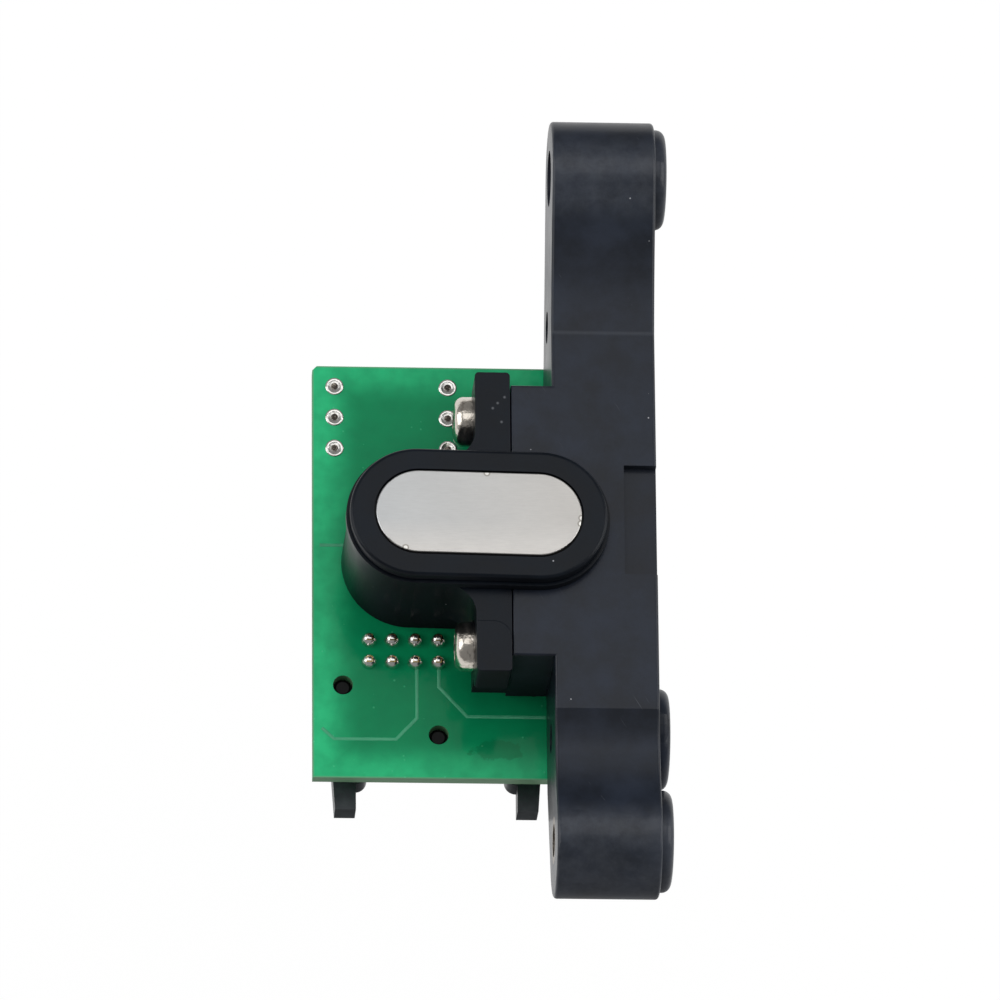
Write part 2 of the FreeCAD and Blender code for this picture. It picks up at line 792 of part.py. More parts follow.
def legs(count, turned):
    """Bent legs on both long sides of a chip body at the origin."""
    mid = -package_stand_off - package_height / 2
    inner = package_width / 2
    outer = leg_span / 2
    knee = inner + 2 * leg_thickness
    foot = -leg_thickness
    high = mid + leg_thickness
    bend = knee - leg_thickness
    points = [
        (inner, mid), (knee, mid), (knee, foot), (outer, foot),
        (outer, 0), (bend, 0), (bend, high), (inner, high),
    ]
    solids = []
    for i in range(count):
        along = (i - (count - 1) / 2) * leg_pitch - leg_width / 2
        for s in (-1, 1):
            wire = Part.makePolygon([V(along, s * a, b) for a, b in points + points[:1]])
            solids.append(Part.Face(wire).extrude(V(leg_width, 0, 0)))
    group = Part.makeCompound(solids)
    if turned:
        group.rotate(V(0, 0, 0), V(0, 0, 1), 90)
    return group


def on_rear(shape, place):
    """Moves a shape to its place on the board's rear, measured from the board's upper left corner."""
    shape.translate(V(board_left + place[0], board_top - place[1], rear_z))
    return shape


def chip_legs():
    amplifier = on_rear(legs(amplifier_legs, False), amplifier_place)
    driver = on_rear(legs(driver_legs, True), driver_place)
    return Part.makeCompound(amplifier.Solids + driver.Solids)


def small_parts(size, row, pitch, count):
    """A row of little blocks on the board's rear."""
    blocks = [block_at(i * pitch, 0, size, -size[2]) for i in range(count)]
    return Part.makeCompound([on_rear(block, row) for block in blocks])


def smoothing_capacitor():
    body = block_at(0, 0, smoothing_size, -smoothing_size[2])
    low_edges = [e for e in body.Edges if e.BoundBox.ZMax < -smoothing_chamfer]
    return on_rear(body.makeChamfer(smoothing_chamfer, low_edges), smoothing_place)


nodes = {
    "mounting_body": mounting_body(),
    "lower_sleeve": lower_sleeve(),
    "sensor_housing": sensor_housing(),
    "face_plate": face_plate(),
    "head_screws": head_screws(),
    "threaded_inserts": threaded_inserts(),
    "circuit_board": circuit_board(),
    "board_screws": board_screws(),
    "solder_joints": solder_joints(),
    "noise_filters": noise_filters(),
    "filter_leads": filter_leads(),
    "connector_shell": connector_shell(),
    "far_contacts": contact_row(far_row_y, far_contact_z),
    "near_contacts": contact_row(near_row_y, near_contact_z),
    "left_latch": latch(-1),
    "right_latch": latch(1),
    "sensing_chip": sensing_chip(),
    "element_board": element_board(),
    "bias_magnet": bias_magnet(),
    "element_carrier": element_carrier(),
    "potting_fill": potting_fill(),
    "element_leads": element_leads(),
    "amplifier_chip": on_rear(package(amplifier_length, False), amplifier_place),
    "line_driver_chip": on_rear(package(driver_length, True), driver_place),
    "chip_legs": chip_legs(),
    "smoothing_capacitor": smoothing_capacitor(),
    "ceramic_capacitors": small_parts(capacitor_size, capacitor_row, capacitor_pitch, capacitor_count),
    "resistors": small_parts(resistor_size, resistor_row, resistor_pitch, resistor_count),
}

os.makedirs("parts", exist_ok=True)
for name, shape in nodes.items():
    shape.exportStep("parts/" + name + ".step")
    print(name, shape.isValid(), len(shape.Solids), round(shape.Volume, 1))
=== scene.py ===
import bpy
import bmesh
import math
from mathutils import Matrix, Vector


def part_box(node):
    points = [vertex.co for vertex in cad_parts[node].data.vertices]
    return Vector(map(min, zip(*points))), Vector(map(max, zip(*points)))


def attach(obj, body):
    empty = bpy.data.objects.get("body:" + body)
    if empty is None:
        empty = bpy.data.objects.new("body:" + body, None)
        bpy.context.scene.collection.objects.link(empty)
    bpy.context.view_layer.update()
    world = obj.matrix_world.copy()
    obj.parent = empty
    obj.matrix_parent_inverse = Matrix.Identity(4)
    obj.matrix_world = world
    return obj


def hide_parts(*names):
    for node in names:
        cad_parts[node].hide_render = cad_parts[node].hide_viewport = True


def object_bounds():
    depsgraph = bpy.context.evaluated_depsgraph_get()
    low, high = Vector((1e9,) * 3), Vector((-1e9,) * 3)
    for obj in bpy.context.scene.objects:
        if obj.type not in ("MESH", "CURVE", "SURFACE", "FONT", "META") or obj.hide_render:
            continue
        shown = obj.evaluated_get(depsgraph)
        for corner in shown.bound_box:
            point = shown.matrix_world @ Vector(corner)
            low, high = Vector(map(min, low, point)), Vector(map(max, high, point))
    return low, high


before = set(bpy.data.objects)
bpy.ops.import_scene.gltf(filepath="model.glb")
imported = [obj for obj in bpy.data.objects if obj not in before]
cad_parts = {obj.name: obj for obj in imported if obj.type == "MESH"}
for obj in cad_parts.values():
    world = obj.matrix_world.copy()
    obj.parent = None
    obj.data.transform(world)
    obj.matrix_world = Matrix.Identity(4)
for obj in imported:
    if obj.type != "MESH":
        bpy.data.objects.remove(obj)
cad_box = [list(corner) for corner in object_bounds()]

MM = 0.001


def span(node):
    """Lowest and highest corners of a CAD node, in millimetres."""
    low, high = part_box(node)
    return Vector(low) / MM, Vector(high) / MM


board_low, board_high = span("circuit_board")
pins_low, pins_high = span("far_contacts")
near_low, near_high = span("near_contacts")
leads_low, leads_high = span("filter_leads")
filters_low, filters_high = span("noise_filters")
element_low, element_high = span("element_leads")
plate_low, plate_high = span("face_plate")


# Material tools

def colour(code):
    """An sRGB hex code as a linear colour."""
    parts = [int(code[i:i + 2], 16) / 255 for i in (1, 3, 5)]
    return [p / 12.92 if p <= 0.04045 else ((p + 0.055) / 1.055) ** 2.4 for p in parts] + [1]


def add(tree, kind, inputs=None, **settings):
    """Adds a shader node. An input is given a value, a colour's code, or the node or socket that feeds it."""
    node = tree.nodes.new(kind)
    for name, value in settings.items():
        setattr(node, name, value)
    for name, value in (inputs or {}).items():
        if isinstance(value, str):
            value = colour(value)
        if isinstance(value, bpy.types.Node):
            value = next(out for out in value.outputs if out.enabled)
        if isinstance(value, bpy.types.NodeSocket):
            tree.links.new(value, node.inputs[name])
        else:
            node.inputs[name].default_value = value
    return node


def start(name):
    """An empty material. Gives it, its tree, and Object coordinates in millimetres."""
    material = bpy.data.materials.new(name)
    material.use_nodes = True
    tree = material.node_tree
    tree.nodes.clear()
    metres = add(tree, "ShaderNodeTexCoord").outputs["Object"]
    place = add(tree, "ShaderNodeMapping", {"Vector": metres, "Scale": [1 / MM] * 3}).outputs["Vector"]
    return material, tree, place


def finish_with(tree, shader):
    """Gives the material its surface."""
    add(tree, "ShaderNodeOutputMaterial", {"Surface": shader})


def paint(material, *names):
    """Gives CAD nodes a material in place of their own."""
    for name in names:
        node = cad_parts[name]
        node.data.materials.clear()
        node.data.materials.append(material)


def distance_from(tree, coordinate, at):
    """How far a coordinate lies from a given value, to either side."""
    away = add(tree, "ShaderNodeMath", {0: coordinate, 1: at}, operation="SUBTRACT")
    return add(tree, "ShaderNodeMath", {0: away}, operation="ABSOLUTE")


def duller_below(tree, roughness):
    """A roughness that grows to that of an unpolished mould on faces turned down, towards -Y."""
    unpolished = 0.85
    normal = add(tree, "ShaderNodeTexCoord").outputs["Normal"]
    facing = add(tree, "ShaderNodeSeparateXYZ", {"Vector": normal}).outputs
    return add(tree, "ShaderNodeMapRange", {"Value": facing["Y"], "From Min": -0.5, "From Max": -0.95,
                                            "To Min": roughness, "To Max": unpolished})


def specks(tree, place, cell, radius, share):
    """A mask of small round specks of a radius in mm: one to a cell of a width in mm, in a share of cells."""
    cells = add(tree, "ShaderNodeTexVoronoi", {"Vector": place, "Scale": 1 / cell})
    dot = add(tree, "ShaderNodeMapRange", {"Value": cells.outputs["Distance"], "From Min": radius / cell,
                                           "From Max": 0.5 * radius / cell, "To Min": 0, "To Max": 1})
    pick = add(tree, "ShaderNodeSeparateColor", {"Color": cells.outputs["Color"]})
    kept = add(tree, "ShaderNodeMath", {0: pick.outputs["Red"], 1: share}, operation="LESS_THAN")
    return add(tree, "ShaderNodeMath", {0: dot, 1: kept}, operation="MULTIPLY")


def hairlines(tree, place, turn, width):
    """A mask of fine straight scratches, a width in mm apart and turned by an angle in the face's plane."""
    turned_place = add(tree, "ShaderNodeMapping", {"Vector": place, "Rotation": (0, 0, math.radians(turn))})
    along = add(tree, "ShaderNodeMapping", {"Vector": turned_place,
                                            "Scale": (0.04 / width, 1 / width, 0.4 / width)})
    lines = add(tree, "ShaderNodeTexNoise", {"Vector": along, "Scale": 0.5, "Detail": 2})
    return add(tree, "ShaderNodeMapRange", {"Value": lines, "From Min": 0.74, "From Max": 0.8})


# The mounting body's front, with places and sizes in mm

upper_crease_y = -18.5
# Width in mm of the painted highlight along the upper crease
crease_highlight_width = 0.3
lower_crease_y = -62.05
hollow_length = 11.1
hollow_slope = 0.36
hollow_back_z = -1.2
# Bands across the arm ends in Y, in mm, paled by smears that are part dust and part painted sheen
sheen_and_smear_bands = ((-5.6, 2.4), (-82.5, -74.0))
sheen_and_smear_fade = 1.5
pocket_floor_z = -0.4
pocket_left_x = -6
pocket_to_crease = 2


def lower_hollow(tree, place):
    """Height of the front below the lower crease: it turns away at once, and flattens towards the arm."""
    axes = add(tree, "ShaderNodeSeparateXYZ", {"Vector": place}).outputs
    along = add(tree, "ShaderNodeMapRange", {"Value": axes["Y"], "From Min": lower_crease_y,
                                             "From Max": lower_crease_y - hollow_length})
    front = add(tree, "ShaderNodeMath", {0: axes["Z"], 1: hollow_back_z}, operation="GREATER_THAN")
    bend = add(tree, "ShaderNodeMath", {0: 2, 1: along}, operation="SUBTRACT")
    rise = add(tree, "ShaderNodeMath", {0: along, 1: bend}, operation="MULTIPLY")
    fall = -hollow_slope * hollow_length / 2 * MM
    rise = add(tree, "ShaderNodeMath", {0: rise, 1: fall}, operation="MULTIPLY")
    return add(tree, "ShaderNodeMath", {0: rise, 1: front}, operation="MULTIPLY")


def smears_and_painted_light(tree, place, base):
    """The front with painted light on it: pale smears over its arm ends, part dust and part painted sheen
    where the ends catch the top light, a thin painted highlight along its upper crease, and painted shade on
    the floor of its pocket."""
    axes = add(tree, "ShaderNodeSeparateXYZ", {"Vector": place}).outputs
    smear = add(tree, "ShaderNodeTexNoise", {"Vector": place, "Scale": 0.55, "Detail": 6, "Roughness": 0.66,
                                             "Distortion": 0.15})
    smear = add(tree, "ShaderNodeMapRange", {"Value": smear, "From Min": 0.36, "From Max": 0.7,
                                             "To Min": 0.4})
    # Pale smears over the arm ends: part dust, part painted sheen from the top light
    for low, high in sheen_and_smear_bands:
        away = distance_from(tree, axes["Y"], (low + high) / 2)
        near = add(tree, "ShaderNodeMapRange", {"Value": away, "From Min": (high - low) / 2 + sheen_and_smear_fade,
                                                "From Max": (high - low) / 2 - sheen_and_smear_fade},
                   interpolation_type="SMOOTHSTEP")
        share = add(tree, "ShaderNodeMath", {0: near, 1: smear}, operation="MULTIPLY")
        share = add(tree, "ShaderNodeMath", {0: share, 1: 0.3}, operation="MULTIPLY")
        base = add(tree, "ShaderNodeMix", {"Factor": share, "A": base, "B": "#5A5E66"}, data_type="RGBA")
    # A thin painted highlight along the upper crease
    away = distance_from(tree, axes["Y"], upper_crease_y)
    near = add(tree, "ShaderNodeMapRange", {"Value": away, "From Min": crease_highlight_width,
                                            "From Max": crease_highlight_width / 6, "To Max": 0.14})
    base = add(tree, "ShaderNodeMix", {"Factor": near, "A": base, "B": "#5A5E66"}, data_type="RGBA")
    # Painted shade: the pocket's floor is darkened towards near black
    pocket_shade = add(tree, "ShaderNodeMath", {0: axes["Z"], 1: pocket_floor_z}, operation="LESS_THAN")
    for axis, limit, side in (("Y", upper_crease_y - pocket_to_crease, "LESS_THAN"),
                              ("Y", lower_crease_y + pocket_to_crease, "GREATER_THAN"),
                              ("X", pocket_left_x, "GREATER_THAN")):
        part = add(tree, "ShaderNodeMath", {0: axes[axis], 1: limit}, operation=side)
        pocket_shade = add(tree, "ShaderNodeMath", {0: pocket_shade, 1: part}, operation="MULTIPLY")
    pocket_shade = add(tree, "ShaderNodeMath", {0: pocket_shade, 1: 0.3}, operation="MULTIPLY")
    return add(tree, "ShaderNodeMix", {"Factor": pocket_shade, "A": base, "B": "#060910"}, data_type="RGBA")


# Materials

mark_radius = 0.2


def black_moulding(name, dark, light, roughness, ior, coat, dust, body_front=False, marks=()):
    """Black glass-filled plastic from a fine-sparked mould. It looks charcoal rather than black, with a soft
    sheen, faint clouds where the melt flowed and hands have rubbed it, hair scratches, specks of dust, and
    chalky marks at given places in mm."""
    material, tree, place = start(name)
    clouds = add(tree, "ShaderNodeTexNoise", {"Vector": place, "Scale": 0.2, "Detail": 5, "Roughness": 0.62})
    shade = add(tree, "ShaderNodeMapRange", {"Value": clouds, "From Min": 0.36, "From Max": 0.66})
    base = add(tree, "ShaderNodeMix", {"Factor": shade, "A": dark, "B": light}, data_type="RGBA")
    scratch = hairlines(tree, place, 58, 0.12)
    worn = add(tree, "ShaderNodeMath", {0: scratch, 1: 0.16 * dust}, operation="MULTIPLY")
    base = add(tree, "ShaderNodeMix", {"Factor": worn, "A": base, "B": "#6B6E76"}, data_type="RGBA")
    fleck = specks(tree, place, 2.2, 0.1, 0.16 * dust)
    base = add(tree, "ShaderNodeMix", {"Factor": fleck, "A": base, "B": "#A9ABB0"}, data_type="RGBA")
    flat = add(tree, "ShaderNodeVectorMath", {0: place, 1: (1, 1, 0)}, operation="MULTIPLY")
    for mark in marks:
        near = add(tree, "ShaderNodeVectorMath", {0: flat, 1: (*mark, 0)}, operation="DISTANCE")
        touch = add(tree, "ShaderNodeMapRange", {"Value": near, "From Min": mark_radius,
                                                 "From Max": mark_radius / 10, "To Max": 0.4})
        base = add(tree, "ShaderNodeMix", {"Factor": touch, "A": base, "B": "#8A8D93"}, data_type="RGBA")
    if body_front:
        # Painted sheen, highlight and shade on the body's front, with its dusty smears
        base = smears_and_painted_light(tree, place, base)
    grain = add(tree, "ShaderNodeTexNoise", {"Vector": place, "Scale": 6, "Detail": 3, "Roughness": 0.6})
    bump = add(tree, "ShaderNodeBump", {"Height": grain, "Strength": 0.5, "Distance": 0.02 * MM})
    if body_front:
        bump = add(tree, "ShaderNodeBump", {"Height": lower_hollow(tree, place), "Strength": 1, "Distance": 1,
                                            "Normal": bump})
    gloss = add(tree, "ShaderNodeMapRange", {"Value": clouds, "From Min": 0.3, "From Max": 0.7,
                                             "To Min": roughness - 0.06, "To Max": roughness + 0.06})
    finish_with(tree, add(tree, "ShaderNodeBsdfPrincipled", {
        "Base Color": base, "Roughness": duller_below(tree, gloss), "IOR": ior, "Normal": bump,
        "Coat Weight": coat, "Coat Roughness": 0.14}))
    return material


def glossy_moulding(name, dark, light, roughness, ior):
    """Black plastic from a polished mould, as on connectors: nearly black, with sharp highlights along its
    edges and slight sink marks that bend them."""
    material, tree, place = start(name)
    sink = add(tree, "ShaderNodeTexNoise", {"Vector": place, "Scale": 0.7, "Detail": 2})
    base = add(tree, "ShaderNodeMix", {"Factor": sink, "A": dark, "B": light}, data_type="RGBA")
    fine = add(tree, "ShaderNodeTexNoise", {"Vector": place, "Scale": 9, "Detail": 2})
    low = add(tree, "ShaderNodeBump", {"Height": sink, "Strength": 0.5, "Distance": 0.1 * MM})
    bump = add(tree, "ShaderNodeBump", {"Height": fine, "Strength": 0.2, "Distance": 0.01 * MM,
                                        "Normal": low})
    finish_with(tree, add(tree, "ShaderNodeBsdfPrincipled", {
        "Base Color": base, "Roughness": duller_below(tree, roughness), "IOR": ior, "Normal": bump}))
    return material


# Nicks at the plate's edge, in mm, each drawn as a painted ring of shade round a painted glint
plate_nicks = ((-20.09, -36.23), (-9.8, -41.3), (-9.9, -41.95), (-29.0, -44.95))
nick_radius = 0.42
nick_inside = 0.3
nick_middle = 0.16
plate_low_edge = 4


def satin_plate():
    """Thin stainless steel sheet with a fine satin finish: soft, even and pale, a little cooler at its left
    end, with a painted sheen along its low edge, a fine drawn grain, faint rub marks, and small nicks at its
    edge drawn as painted shade round a painted glint."""
    material, tree, place = start("satin_stainless_steel")
    across = add(tree, "ShaderNodeSeparateXYZ", {"Vector": place})
    tone = add(tree, "ShaderNodeMapRange", {"Value": across.outputs["X"], "From Min": plate_low.x,
                                            "From Max": plate_high.x})
    base = add(tree, "ShaderNodeMix", {"Factor": tone, "A": "#BEC0C1", "B": "#C4C1BD"}, data_type="RGBA")
    cloud = add(tree, "ShaderNodeTexNoise", {"Vector": place, "Scale": 0.35, "Detail": 4, "Roughness": 0.55})
    grain = add(tree, "ShaderNodeTexNoise", {"Vector": place, "Scale": 12, "Detail": 3, "Roughness": 0.7})
    rub = hairlines(tree, place, 12, 0.08)
    dull = add(tree, "ShaderNodeMath", {0: rub, 1: 0.12}, operation="MULTIPLY")
    base = add(tree, "ShaderNodeMix", {"Factor": dull, "A": base, "B": "#A9A7A3"}, data_type="RGBA")
    # Painted sheen: the plate is paler along its low edge
    low = add(tree, "ShaderNodeMapRange", {"Value": across.outputs["Y"], "From Max": plate_low.y,
                                           "From Min": plate_low.y + plate_low_edge})
    base = add(tree, "ShaderNodeMix", {"Factor": low, "A": base, "B": "#D0CDC9"}, data_type="RGBA")
    stroke = add(tree, "ShaderNodeMapping", {"Vector": place, "Scale": (0.6, 5, 1)})
    streak = add(tree, "ShaderNodeTexNoise", {"Vector": stroke, "Scale": 1.4, "Detail": 5, "Roughness": 0.7})
    faint = add(tree, "ShaderNodeMapRange", {"Value": streak, "From Min": 0.4, "From Max": 0.75,
                                             "To Max": 0.25})
    base = add(tree, "ShaderNodeMix", {"Factor": faint, "A": base, "B": "#A5A4A2"}, data_type="RGBA")
    # Each nick: a darker ring of painted shade round a bright painted glint
    for nick in plate_nicks:
        near = add(tree, "ShaderNodeVectorMath", {0: place, 1: (*nick, plate_high.z)}, operation="DISTANCE")
        ring = add(tree, "ShaderNodeMapRange", {"Value": near, "From Min": nick_radius,
                                                "From Max": nick_inside})
        base = add(tree, "ShaderNodeMix", {"Factor": ring, "A": base, "B": "#8A857E"}, data_type="RGBA")
        spot = add(tree, "ShaderNodeMapRange", {"Value": near, "From Min": nick_inside,
                                                "From Max": nick_middle})
        base = add(tree, "ShaderNodeMix", {"Factor": spot, "A": base, "B": "#EDEBE6"}, data_type="RGBA")
    gloss = add(tree, "ShaderNodeMapRange", {"Value": cloud, "From Min": 0.3, "From Max": 0.7,
                                             "To Min": 0.34, "To Max": 0.37})
    bump = add(tree, "ShaderNodeBump", {"Height": grain, "Strength": 0.35, "Distance": 0.012 * MM})
    finish_with(tree, add(tree, "ShaderNodeBsdfPrincipled", {
        "Base Color": base, "Metallic": 1.0, "Roughness": gloss, "Normal": bump}))
    return material


def plated(name, light, dark, roughness, lump, depth):
    """Bright plated metal: mirror-like, broken up by slow waves of a given size and depth in mm, and by
    darker spots where the plating is thin or soiled."""
    material, tree, place = start(name)
    wave = add(tree, "ShaderNodeTexNoise", {"Vector": place, "Scale": 1 / lump, "Detail": 3,
                                            "Roughness": 0.55})
    spot = add(tree, "ShaderNodeMapRange", {"Value": wave, "From Min": 0.56, "From Max": 0.74})
    base = add(tree, "ShaderNodeMix", {"Factor": spot, "A": light, "B": dark}, data_type="RGBA")
    bump = add(tree, "ShaderNodeBump", {"Height": wave, "Strength": 0.6, "Distance": depth * MM})
    finish_with(tree, add(tree, "ShaderNodeBsdfPrincipled", {
        "Base Color": base, "Metallic": 1.0, "Roughness": roughness, "Normal": bump}))
    return material


# The board's free edges, where light through the laminate is painted into the mask as a paler band: axis,
# place, how far in the painted light reaches in mm, and how pale it gets
mask_edges = (("X", board_low.x, 6, 1), ("Y", board_low.y, 5, 0.9), ("Y", board_high.y, -5, 0.75))
mask_rim = 0.2
# A dark patch on the mask, part varnish pool and part painted shade under the parts over it: its middle and
# size in mm
puddle_and_shade_at = (-18.2, -62.4)
puddle_and_shade_size = (3.0, 1.3)


def solder_mask():
    """Green solder mask over glass laminate, dipped in a thin clear varnish: deep wet green that mirrors what
    stands on it, with painted light making it paler near the free edges as if lit through the laminate, one
    dark patch that is part varnish pool and part painted shade, and small pimples in the varnish, each with a
    painted glint."""
    material, tree, place = start("green_solder_mask")
    axes = add(tree, "ShaderNodeSeparateXYZ", {"Vector": place}).outputs
    pale, rim = 0, 0
    # Painted light: the mask grows paler towards the free edges, as if lit through the laminate
    for axis, edge, reach, most in mask_edges:
        near = add(tree, "ShaderNodeMapRange", {"Value": axes[axis], "From Min": edge,
                                                "From Max": edge + reach, "To Min": most, "To Max": 0},
                   interpolation_type="SMOOTHERSTEP")
        pale = add(tree, "ShaderNodeMath", {0: pale, 1: near}, operation="MAXIMUM")
        inwards = math.copysign(mask_rim, reach)
        line = add(tree, "ShaderNodeMapRange", {"Value": axes[axis], "From Min": edge + inwards / 2,
                                                "From Max": edge + inwards, "To Min": 1, "To Max": 0})
        rim = add(tree, "ShaderNodeMath", {0: rim, 1: line}, operation="MAXIMUM")
    base = add(tree, "ShaderNodeMix", {"Factor": pale, "A": "#0A8353", "B": "#2CBD7E"}, data_type="RGBA")
    weave = add(tree, "ShaderNodeTexNoise", {"Vector": place, "Scale": 0.5, "Detail": 4})
    tint = add(tree, "ShaderNodeMapRange", {"Value": weave, "From Min": 0.35, "From Max": 0.65, "To Min": 0,
                                            "To Max": 0.3})
    base = add(tree, "ShaderNodeMix", {"Factor": tint, "A": base, "B": "#08704A"}, data_type="RGBA")
    base = add(tree, "ShaderNodeMix", {"Factor": rim, "A": base, "B": "#58A276"}, data_type="RGBA")
    flow = add(tree, "ShaderNodeTexNoise", {"Vector": place, "Scale": 0.28, "Detail": 2})
    # The dark patch: part varnish pool, part painted shade
    around = add(tree, "ShaderNodeMapping", {
        "Vector": place, "Scale": (1 / puddle_and_shade_size[0], 1 / puddle_and_shade_size[1], 0),
        "Location": (-puddle_and_shade_at[0] / puddle_and_shade_size[0], -puddle_and_shade_at[1] / puddle_and_shade_size[1], 0)})
    away = add(tree, "ShaderNodeVectorMath", {0: around}, operation="LENGTH")
    ragged = add(tree, "ShaderNodeTexNoise", {"Vector": place, "Scale": 0.8, "Detail": 5, "Roughness": 0.6})
    ragged = add(tree, "ShaderNodeMath", {0: ragged, 1: 1.6}, operation="MULTIPLY")
    away = add(tree, "ShaderNodeMath", {0: away, 1: ragged}, operation="ADD")
    puddle_and_shade = add(tree, "ShaderNodeMapRange", {"Value": away, "From Min": 1.72, "From Max": 1.6,
                                              "To Max": 0.4})
    base = add(tree, "ShaderNodeMix", {"Factor": puddle_and_shade, "A": base, "B": "#055C36"}, data_type="RGBA")
    pimple = specks(tree, place, 1.1, 0.16, 0.3)
    # Each pimple is also painted paler, a painted glint on its bump
    lit = add(tree, "ShaderNodeMath", {0: pimple, 1: 0.3}, operation="MULTIPLY")
    base = add(tree, "ShaderNodeMix", {"Factor": lit, "A": base, "B": "#5FD09C"}, data_type="RGBA")
    wave = add(tree, "ShaderNodeBump", {"Height": flow, "Strength": 0.6, "Distance": 0.11 * MM})
    bump = add(tree, "ShaderNodeBump", {"Height": pimple, "Strength": 0.6, "Distance": 0.04 * MM,
                                        "Normal": wave})
    finish_with(tree, add(tree, "ShaderNodeBsdfPrincipled", {
        "Base Color": base, "Roughness": 0.1, "IOR": 1.19, "Normal": bump}))
    return material


def cut_laminate():
    """The sawn edge of glass and epoxy laminate: pale yellow green, matt, with fine layers along it."""
    material, tree, place = start("sawn_glass_laminate")
    layers = add(tree, "ShaderNodeMapping", {"Vector": place, "Scale": (0.5, 0.5, 6)})
    band = add(tree, "ShaderNodeTexNoise", {"Vector": layers, "Scale": 1, "Detail": 3})
    base = add(tree, "ShaderNodeMix", {"Factor": band, "A": "#34683F", "B": "#6C9A74"}, data_type="RGBA")
    bump = add(tree, "ShaderNodeBump", {"Height": band, "Strength": 0.4, "Distance": 0.03 * MM})
    finish_with(tree, add(tree, "ShaderNodeBsdfPrincipled", {
        "Base Color": base, "Roughness": 0.6, "Normal": bump}))
    return material


def covered_copper():
    """A copper track under the solder mask. The mask looks paler and yellower over it."""
    material, tree, place = start("copper_under_solder_mask")
    run = add(tree, "ShaderNodeTexNoise", {"Vector": place, "Scale": 1.2, "Detail": 3})
    base = add(tree, "ShaderNodeMix", {"Factor": run, "A": "#35926A", "B": "#4BA67C"}, data_type="RGBA")
    finish_with(tree, add(tree, "ShaderNodeBsdfPrincipled", {
        "Base Color": base, "Roughness": 0.14, "IOR": 1.3}))
    return material


def burnt_flux():
    """The rough middle of a hand-soldered joint: a cut lead end, with brown flux baked into its pits."""
    material, tree, place = start("solder_with_burnt_flux")
    pits = add(tree, "ShaderNodeTexNoise", {"Vector": place, "Scale": 3.2, "Detail": 4, "Roughness": 0.65})
    bright = add(tree, "ShaderNodeMapRange", {"Value": pits, "From Min": 0.5, "From Max": 0.62})
    base = add(tree, "ShaderNodeMix", {"Factor": bright, "A": "#3A322C", "B": "#B9AFA2"}, data_type="RGBA")
    metal = add(tree, "ShaderNodeMapRange", {"Value": pits, "From Min": 0.5, "From Max": 0.6, "To Min": 0.2,
                                             "To Max": 1})
    bump = add(tree, "ShaderNodeBump", {"Height": pits, "Strength": 0.9, "Distance": 0.3 * MM})
    finish_with(tree, add(tree, "ShaderNodeBsdfPrincipled", {
        "Base Color": base, "Metallic": metal, "Roughness": 0.32, "Normal": bump}))
    return material


def dull_case(name, dark, light, roughness, lump):
    """An unmarked, slightly uneven case of moulded or dipped resin, or of fired ceramic, with a low sheen."""
    material, tree, place = start(name)
    mottle = add(tree, "ShaderNodeTexNoise", {"Vector": place, "Scale": 1 / lump, "Detail": 4})
    base = add(tree, "ShaderNodeMix", {"Factor": mottle, "A": dark, "B": light}, data_type="RGBA")
    grain = add(tree, "ShaderNodeTexNoise", {"Vector": place, "Scale": 8, "Detail": 3})
    low = add(tree, "ShaderNodeBump", {"Height": mottle, "Strength": 0.3, "Distance": 0.05 * MM})
    bump = add(tree, "ShaderNodeBump", {"Height": grain, "Strength": 0.3, "Distance": 0.015 * MM,
                                        "Normal": low})
    finish_with(tree, add(tree, "ShaderNodeBsdfPrincipled", {
        "Base Color": base, "Roughness": roughness, "Normal": bump}))
    return material


def end_capped(name, body_code, cap_code, node, cap):
    """A fired ceramic chip part with a tinned cap of the given length in mm at both ends."""
    low, high = span(node)
    material, tree, place = start(name)
    along = add(tree, "ShaderNodeSeparateXYZ", {"Vector": place}).outputs["Y"]
    away = distance_from(tree, along, (low.y + high.y) / 2)
    capped = add(tree, "ShaderNodeMath", {0: away, 1: (high.y - low.y) / 2 - cap}, operation="GREATER_THAN")
    grain = add(tree, "ShaderNodeTexNoise", {"Vector": place, "Scale": 5, "Detail": 3})
    bump = add(tree, "ShaderNodeBump", {"Height": grain, "Strength": 0.4, "Distance": 0.02 * MM})
    base = add(tree, "ShaderNodeMix", {"Factor": capped, "A": body_code, "B": cap_code}, data_type="RGBA")
    finish_with(tree, add(tree, "ShaderNodeBsdfPrincipled", {
        "Base Color": base, "Metallic": capped, "Roughness": 0.38, "Normal": bump}))
    return material


ear_marks = ((-17.9, -26.2), (-18.25, -29.1), (-18.66, -26.9), (-19.2, -27.5))
solder = plated("bright_tin_solder", "#E6E4E0", "#B4AFA8", 0.2, 0.55, 0.06)
flux = burnt_flux()
covered = covered_copper()

paint(black_moulding("glass_filled_nylon", "#0D131D", "#1A212E", 0.38, 1.34, 0.12, 1.0, body_front=True),
      "mounting_body")
paint(black_moulding("filled_polyester", "#040911", "#09111A", 0.36, 1.27, 0.05, 0.8, marks=ear_marks),
      "sensor_housing")
paint(black_moulding("carrier_polyester", "#101114", "#17181B", 0.45, 1.4, 0.0, 0.0), "element_carrier")
paint(glossy_moulding("connector_polyester", "#040506", "#08090B", 0.34, 1.22), "connector_shell")
paint(glossy_moulding("latch_nylon", "#26292C", "#43474A", 0.34, 1.22), "left_latch", "right_latch")
paint(satin_plate(), "face_plate")
paint(plated("nickel_plated_steel", "#D2CBC1", "#9A9186", 0.21, 1.1, 0.16), "head_screws")
paint(plated("zinc_plated_steel", "#C4C8CC", "#8E949B", 0.3, 0.9, 0.05), "board_screws")
paint(plated("turned_brass", "#C9A557", "#94732F", 0.32, 0.7, 0.02), "threaded_inserts")
